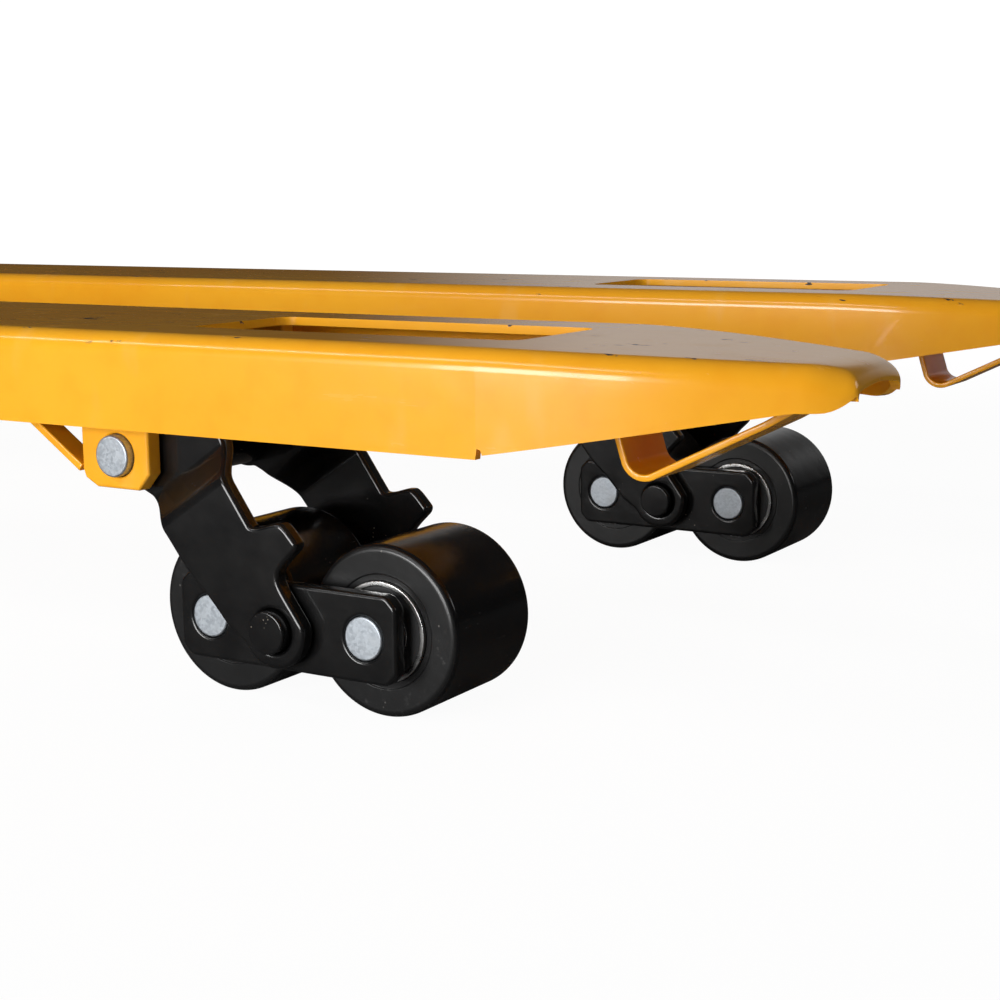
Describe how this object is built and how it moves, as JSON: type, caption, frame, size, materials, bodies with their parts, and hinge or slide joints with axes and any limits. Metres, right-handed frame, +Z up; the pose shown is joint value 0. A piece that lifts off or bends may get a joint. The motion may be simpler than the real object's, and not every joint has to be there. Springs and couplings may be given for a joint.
{
  "type": "hand pallet truck",
  "caption": "Hand pallet truck with long tapered forks, pivoted roller arms with tandem load rollers, steered wheels, a hydraulic pump and a loop handle.",
  "frame": {"origin": "on the floor under the middle of the truck's box, with the forks at the raised rest height", "axes": "+X towards the fork tips, +Y to the truck's left, +Z up"},
  "size_m": [1.568, 0.54, 1.1999],
  "materials": {
    "yellow_coat": "glossy powder coat",
    "black_paint": "gloss black paint",
    "pump_black": "satin black paint on cast metal",
    "zinc": "zinc plate",
    "bearing_steel": "ground steel",
    "chrome": "polished hard chrome",
    "polyurethane": "satin moulded polyurethane",
    "grip": "matt moulded rubber"
  },
  "bodies": {
    "fork_frame": {"right_fork": "yellow_coat", "left_fork": "yellow_coat", "crosshead": "yellow_coat", "rocker_shaft": "zinc", "ram": "chrome", "right_outer_lug": "yellow_coat", "right_inner_lug": "yellow_coat", "right_lug_ramp": "yellow_coat", "right_entry_strip": "yellow_coat", "right_pivot_pin": "zinc", "left_outer_lug": "yellow_coat", "left_inner_lug": "yellow_coat", "left_lug_ramp": "yellow_coat", "left_entry_strip": "yellow_coat", "left_pivot_pin": "zinc"},
    "right_arm": {"right_outer_arm_plate": "black_paint", "right_inner_arm_plate": "black_paint", "right_arm_sleeve": "black_paint", "right_rod_pin": "zinc"},
    "right_centre": {"right_outer_centre_pin": "black_paint", "right_inner_centre_pin": "black_paint"},
    "right_bogie": {"right_outer_link": "black_paint", "right_inner_link": "black_paint", "right_front_axle": "zinc", "right_rear_axle": "zinc"},
    "right_front_wheel": {"right_front_roller": "polyurethane", "right_front_bearings": "bearing_steel"},
    "right_rear_wheel": {"right_rear_roller": "polyurethane", "right_rear_bearings": "bearing_steel"},
    "right_rod": {"right_push_rod": "black_paint"},
    "left_arm": {"left_outer_arm_plate": "black_paint", "left_inner_arm_plate": "black_paint", "left_arm_sleeve": "black_paint", "left_rod_pin": "zinc"},
    "left_centre": {"left_outer_centre_pin": "black_paint", "left_inner_centre_pin": "black_paint"},
    "left_bogie": {"left_outer_link": "black_paint", "left_inner_link": "black_paint", "left_front_axle": "zinc", "left_rear_axle": "zinc"},
    "left_front_wheel": {"left_front_roller": "polyurethane", "left_front_bearings": "bearing_steel"},
    "left_rear_wheel": {"left_rear_roller": "polyurethane", "left_rear_bearings": "bearing_steel"},
    "left_rod": {"left_push_rod": "black_paint"},
    "rocker": {"rocker": "black_paint"},
    "yoke": {"yoke": "black_paint"},
    "steer_unit": {"pump_base": "pump_black", "reservoir": "pump_black", "steer_axle": "zinc", "handle_pin": "zinc"},
    "right_steer_wheel": {"right_steer_tyre": "polyurethane", "right_steer_hub": "pump_black"},
    "left_steer_wheel": {"left_steer_tyre": "polyurethane", "left_steer_hub": "pump_black"},
    "handle": {"handle_foot": "yellow_coat", "handle_tube": "yellow_coat", "grip_loop": "grip"},
    "lever": {"control_lever": "black_paint"},
    "plunger": {"pump_plunger": "chrome"}
  },
  "joints": [
    {"name": "lift", "type": "slide", "parent": "fork_frame", "child": "yoke", "axis": [0, 0, -1], "range_m": [-0.089, 0.016]},
    {"name": "right_arm_turn", "type": "hinge", "parent": "fork_frame", "child": "right_arm", "pos_m": [0.4324, -0.195, 0.114], "axis": [0, 1, 0], "range_deg": [-46.95, 8.46]},
    {"name": "right_centre_turn", "type": "hinge", "parent": "right_arm", "child": "right_centre", "pos_m": [0.5221, -0.195, 0.04], "axis": [0, 1, 0], "range_deg": [-8.46, 46.95]},
    {"name": "right_bogie_rock", "type": "hinge", "parent": "right_centre", "child": "right_bogie", "pos_m": [0.5221, -0.195, 0.04], "axis": [0, 1, 0], "range_deg": [-8, 8]},
    {"name": "right_front_roll", "type": "hinge", "parent": "right_bogie", "child": "right_front_wheel", "pos_m": [0.5661, -0.195, 0.04], "axis": [0, 1, 0], "continuous": true},
    {"name": "right_rear_roll", "type": "hinge", "parent": "right_bogie", "child": "right_rear_wheel", "pos_m": [0.4781, -0.195, 0.04], "axis": [0, 1, 0], "continuous": true},
    {"name": "right_rod_turn", "type": "hinge", "parent": "right_arm", "child": "right_rod", "pos_m": [0.44223, -0.195, 0.15071], "axis": [0, 1, 0], "range_deg": [-8.46, 46.95]},
    {"name": "left_arm_turn", "type": "hinge", "parent": "fork_frame", "child": "left_arm", "pos_m": [0.4324, 0.195, 0.114], "axis": [0, 1, 0], "range_deg": [-46.95, 8.46]},
    {"name": "left_centre_turn", "type": "hinge", "parent": "left_arm", "child": "left_centre", "pos_m": [0.5221, 0.195, 0.04], "axis": [0, 1, 0], "range_deg": [-8.46, 46.95]},
    {"name": "left_bogie_rock", "type": "hinge", "parent": "left_centre", "child": "left_bogie", "pos_m": [0.5221, 0.195, 0.04], "axis": [0, 1, 0], "range_deg": [-8, 8]},
    {"name": "left_front_roll", "type": "hinge", "parent": "left_bogie", "child": "left_front_wheel", "pos_m": [0.5661, 0.195, 0.04], "axis": [0, 1, 0], "continuous": true},
    {"name": "left_rear_roll", "type": "hinge", "parent": "left_bogie", "child": "left_rear_wheel", "pos_m": [0.4781, 0.195, 0.04], "axis": [0, 1, 0], "continuous": true},
    {"name": "left_rod_turn", "type": "hinge", "parent": "left_arm", "child": "left_rod", "pos_m": [0.44223, 0.195, 0.15071], "axis": [0, 1, 0], "range_deg": [-8.46, 46.95]},
    {"name": "rocker_turn", "type": "hinge", "parent": "fork_frame", "child": "rocker", "pos_m": [-0.3919, 0, 0.153], "axis": [0, 1, 0], "range_deg": [-8.86, 49.17]},
    {"name": "steering", "type": "hinge", "parent": "yoke", "child": "steer_unit", "pos_m": [-0.6339, 0, 0.09], "axis": [0, 0, 1], "range_deg": [-100, 100]},
    {"name": "right_steer_roll", "type": "hinge", "parent": "steer_unit", "child": "right_steer_wheel", "pos_m": [-0.6339, -0.051, 0.09], "axis": [0, 1, 0], "continuous": true},
    {"name": "left_steer_roll", "type": "hinge", "parent": "steer_unit", "child": "left_steer_wheel", "pos_m": [-0.6339, 0.051, 0.09], "axis": [0, 1, 0], "continuous": true},
    {"name": "handle_tilt", "type": "hinge", "parent": "steer_unit", "child": "handle", "pos_m": [-0.7089, 0, 0.285], "axis": [0, -1, 0], "range_deg": [0, 70], "stiffness_Nm_per_rad": 12, "springref_deg": -22.92},
    {"name": "lever_turn", "type": "hinge", "parent": "handle", "child": "lever", "pos_m": [-0.76465, 0, 1.08226], "axis": [0, 1, 0], "range_deg": [-12, 12], "stiffness_Nm_per_rad": 0.4},
    {"name": "plunger_stroke", "type": "slide", "parent": "steer_unit", "child": "plunger", "axis": [0, 0, -1], "range_m": [0, 0.0295]}
  ],
  "couplings": [
    {"joint": "right_arm_turn", "follows": "lift", "rad_per_m": 9.2024},
    {"joint": "right_centre_turn", "follows": "lift", "rad_per_m": -9.2024},
    {"joint": "right_rod_turn", "follows": "lift", "rad_per_m": -9.2024},
    {"joint": "left_arm_turn", "follows": "lift", "rad_per_m": 9.2024},
    {"joint": "left_centre_turn", "follows": "lift", "rad_per_m": -9.2024},
    {"joint": "left_rod_turn", "follows": "lift", "rad_per_m": -9.2024},
    {"joint": "rocker_turn", "follows": "lift", "rad_per_m": -9.6386},
    {"joint": "plunger_stroke", "follows": "handle_tilt", "m_per_rad": 0.024}
  ]
}
